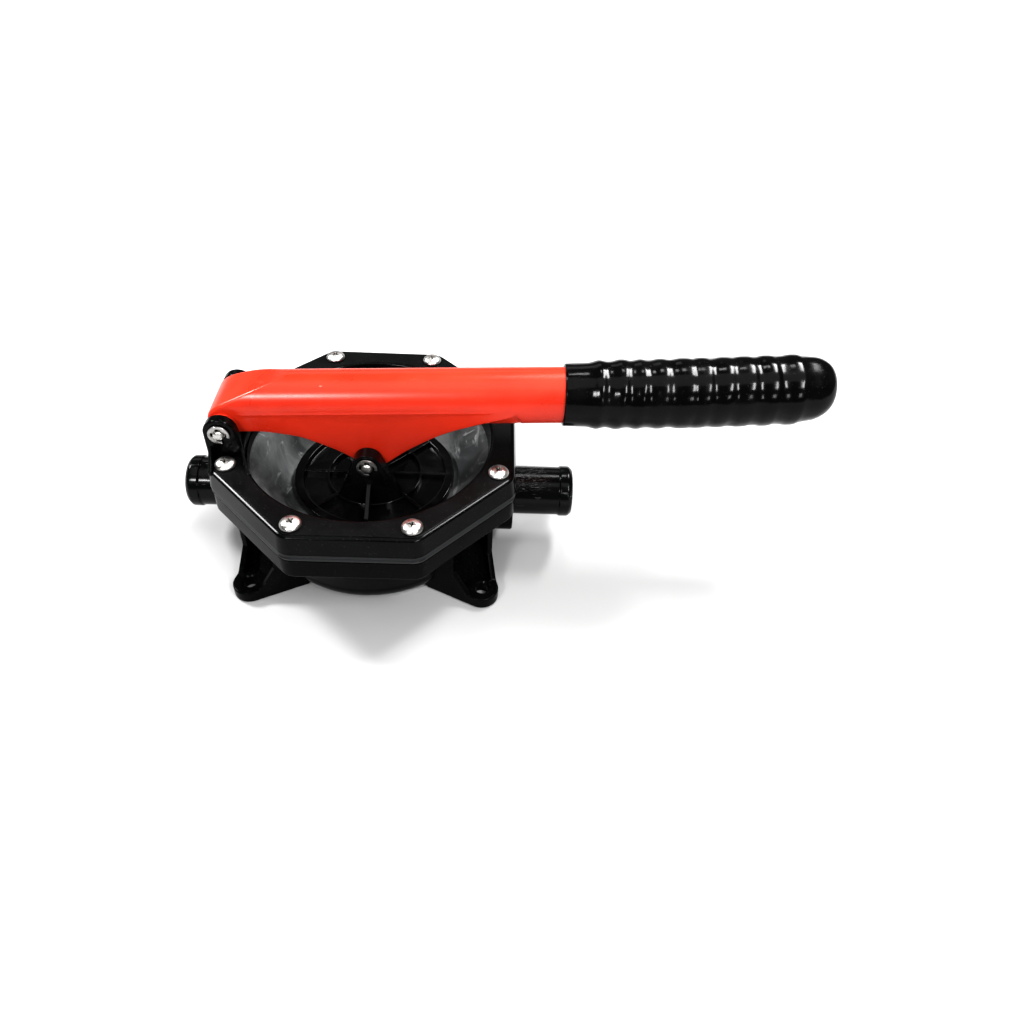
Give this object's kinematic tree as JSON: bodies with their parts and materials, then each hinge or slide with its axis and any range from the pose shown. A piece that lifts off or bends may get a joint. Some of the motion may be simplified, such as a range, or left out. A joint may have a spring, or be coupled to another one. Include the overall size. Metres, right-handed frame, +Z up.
{
  "type": "manual bilge pump",
  "caption": "Hand-worked diaphragm pump: octagonal clamp ring over a round bowl, hinged red lever with a ribbed black grip, opposed hose tails and screw-down feet.",
  "frame": {"origin": "the pump's axis, at the face that it is mounted by", "axes": "+Z up out of the mounting face, +X along the lever towards its grip, hinge pins along Y"},
  "size_m": [0.3171, 0.1474, 0.1186],
  "materials": {
    "housing_plastic": "satin black moulded plastic",
    "plate_plastic": "glossy black moulded plastic",
    "red_plastic": "semi-gloss orange-red moulded plastic",
    "grip_vinyl": "glossy black dipped vinyl",
    "diaphragm_rubber": "matt grey rubber with a dusting of talc",
    "stainless_steel": "bright stainless steel"
  },
  "bodies": {
    "housing": {"pump_body": "housing_plastic", "clamp_ring": "housing_plastic", "diaphragm": "diaphragm_rubber", "ring_screw_1": "stainless_steel", "ring_screw_2": "stainless_steel", "ring_screw_3": "stainless_steel", "ring_screw_4": "stainless_steel", "ring_screw_5": "stainless_steel", "ring_screw_6": "stainless_steel", "ring_screw_7": "stainless_steel", "ring_screw_8": "stainless_steel", "inlet_port": "housing_plastic", "outlet_port": "housing_plastic", "hinge_pin": "stainless_steel", "hinge_clip_front": "stainless_steel", "hinge_clip_rear": "stainless_steel"},
    "lever": {"handle": "red_plastic", "grip": "grip_vinyl"},
    "plunger": {"diaphragm_plate": "plate_plastic", "clamp_plate": "plate_plastic", "plate_screw": "stainless_steel", "clevis_pin": "stainless_steel", "clevis_clip_front": "stainless_steel", "clevis_clip_rear": "stainless_steel"},
    "inlet_valve": {"inlet_flap": "diaphragm_rubber"},
    "outlet_valve": {"outlet_flap": "diaphragm_rubber"}
  },
  "joints": [
    {"name": "lever_hinge", "type": "hinge", "parent": "housing", "child": "lever", "pos_m": [-0.0665, 0, 0.0796], "axis": [0, -1, 0], "range_deg": [-4, 28]},
    {"name": "plunger_slide", "type": "slide", "parent": "housing", "child": "plunger", "axis": [0, 0, 1], "range_m": [-0.005, 0.0345], "deforming": ["diaphragm"]},
    {"name": "inlet_flap_hinge", "type": "hinge", "parent": "housing", "child": "inlet_valve", "pos_m": [-0.0647, 0, 0.0392], "axis": [0, -1, 0], "range_deg": [0, 35]},
    {"name": "outlet_flap_hinge", "type": "hinge", "parent": "housing", "child": "outlet_valve", "pos_m": [0.0633, 0, 0.0392], "axis": [0, -1, 0], "range_deg": [0, 35]}
  ],
  "couplings": [
    {"joint": "plunger_slide", "follows": "lever_hinge", "m_per_rad": 0.0692}
  ]
}
